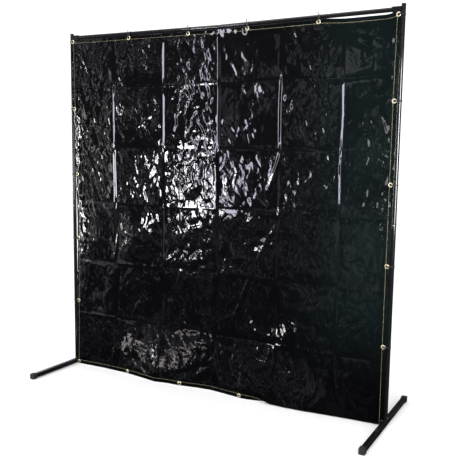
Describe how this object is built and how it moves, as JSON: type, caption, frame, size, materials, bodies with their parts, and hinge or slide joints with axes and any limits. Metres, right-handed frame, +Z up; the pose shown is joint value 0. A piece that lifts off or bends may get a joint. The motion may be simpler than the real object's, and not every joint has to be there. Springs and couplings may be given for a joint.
{
  "type": "welding curtain screen",
  "caption": "Free-standing welding screen: a knock-down steel tube frame on two straight feet, with an opaque hemmed vinyl curtain laced to it by cable ties through eyelets.",
  "frame": {"origin": "on the floor, midway between the uprights and midway along the feet", "axes": "+Z up, +X along the crossbar to the right seen from the curtain side, -Y towards the curtain side"},
  "size_m": [1.846, 0.68, 1.83],
  "materials": {
    "frame_paint": "black gloss powder coat",
    "rubber_caps": "matt black moulded rubber",
    "tube_plugs": "matt black moulded polyethylene",
    "curtain_vinyl": "opaque glossy vinyl sheet, creased from folding, olive stitching round the hem",
    "eyelet_brass": "pale brass plate",
    "cable_ties": "black nylon with a satin sheen",
    "clip_steel": "zinc plated spring steel"
  },
  "bodies": {
    "frame": {"left_foot": "frame_paint", "right_foot": "frame_paint", "left_foot_spigot": "frame_paint", "right_foot_spigot": "frame_paint", "left_front_cap": "rubber_caps", "left_rear_cap": "rubber_caps", "right_front_cap": "rubber_caps", "right_rear_cap": "rubber_caps", "left_post_lower": "frame_paint", "right_post_lower": "frame_paint", "left_post_upper": "frame_paint", "right_post_upper": "frame_paint", "left_post_plug": "tube_plugs", "right_post_plug": "tube_plugs", "left_bar_socket": "frame_paint", "right_bar_socket": "frame_paint", "crossbar_left": "frame_paint", "crossbar_right": "frame_paint", "curtain": "curtain_vinyl", "eyelets": "eyelet_brass", "eyelet_washers": "eyelet_brass", "top_ties": "cable_ties", "left_ties": "cable_ties", "right_ties": "cable_ties"},
    "left_foot_clip": {"left_foot_clip": "clip_steel"},
    "right_foot_clip": {"right_foot_clip": "clip_steel"},
    "left_post_clip": {"left_post_clip": "clip_steel"},
    "right_post_clip": {"right_post_clip": "clip_steel"},
    "crossbar_clip": {"crossbar_clip": "clip_steel"}
  },
  "joints": [
    {"name": "left_foot_button_press", "type": "slide", "parent": "frame", "child": "left_foot_clip", "axis": [1, 0, 0], "range_m": [0, 0.0041], "stiffness_N_per_m": 800, "springref_m": -0.003},
    {"name": "right_foot_button_press", "type": "slide", "parent": "frame", "child": "right_foot_clip", "axis": [-1, 0, 0], "range_m": [0, 0.0041], "stiffness_N_per_m": 800, "springref_m": -0.003},
    {"name": "left_post_button_press", "type": "slide", "parent": "frame", "child": "left_post_clip", "axis": [0, 1, 0], "range_m": [0, 0.0041], "stiffness_N_per_m": 800, "springref_m": -0.003},
    {"name": "right_post_button_press", "type": "slide", "parent": "frame", "child": "right_post_clip", "axis": [0, 1, 0], "range_m": [0, 0.0041], "stiffness_N_per_m": 800, "springref_m": -0.003},
    {"name": "crossbar_button_press", "type": "slide", "parent": "frame", "child": "crossbar_clip", "axis": [0, -1, 0], "range_m": [0, 0.0041], "stiffness_N_per_m": 800, "springref_m": -0.003}
  ]
}
